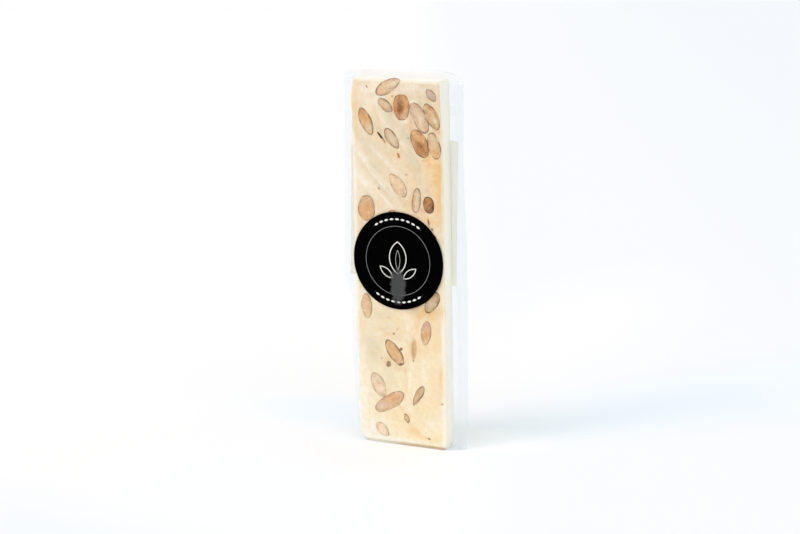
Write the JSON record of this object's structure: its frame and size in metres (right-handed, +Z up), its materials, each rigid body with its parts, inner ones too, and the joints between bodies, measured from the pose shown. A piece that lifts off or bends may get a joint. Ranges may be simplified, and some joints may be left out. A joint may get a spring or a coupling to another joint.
{
  "type": "nougat bar",
  "caption": "Flat upright bar of almond nougat sealed in a clear film bag, with a round front label and a square back label.",
  "frame": {"origin": "middle of the base it stands on", "axes": "+Z up along the bar's length, -Y out of the front with the round label, +X to the right seen from the front"},
  "size_m": [0.0684, 0.0114, 0.1939],
  "materials": {
    "clear_film": "thin clear cellophane-like film, glossy, lightly creased at the folds",
    "black_label": "smooth black coated paper with fine pale lines",
    "cream_paper": "uncoated cream paper",
    "nougat": "dense cream-white honey nougat, cut face with faint drag marks",
    "almond": "cut roasted almonds with thin brown skins",
    "wafer": "white edible wafer paper, fine and dry"
  },
  "bodies": {
    "root": {"bag": "clear_film", "front_label": "black_label", "back_label": "cream_paper"}
  },
  "joints": []
}
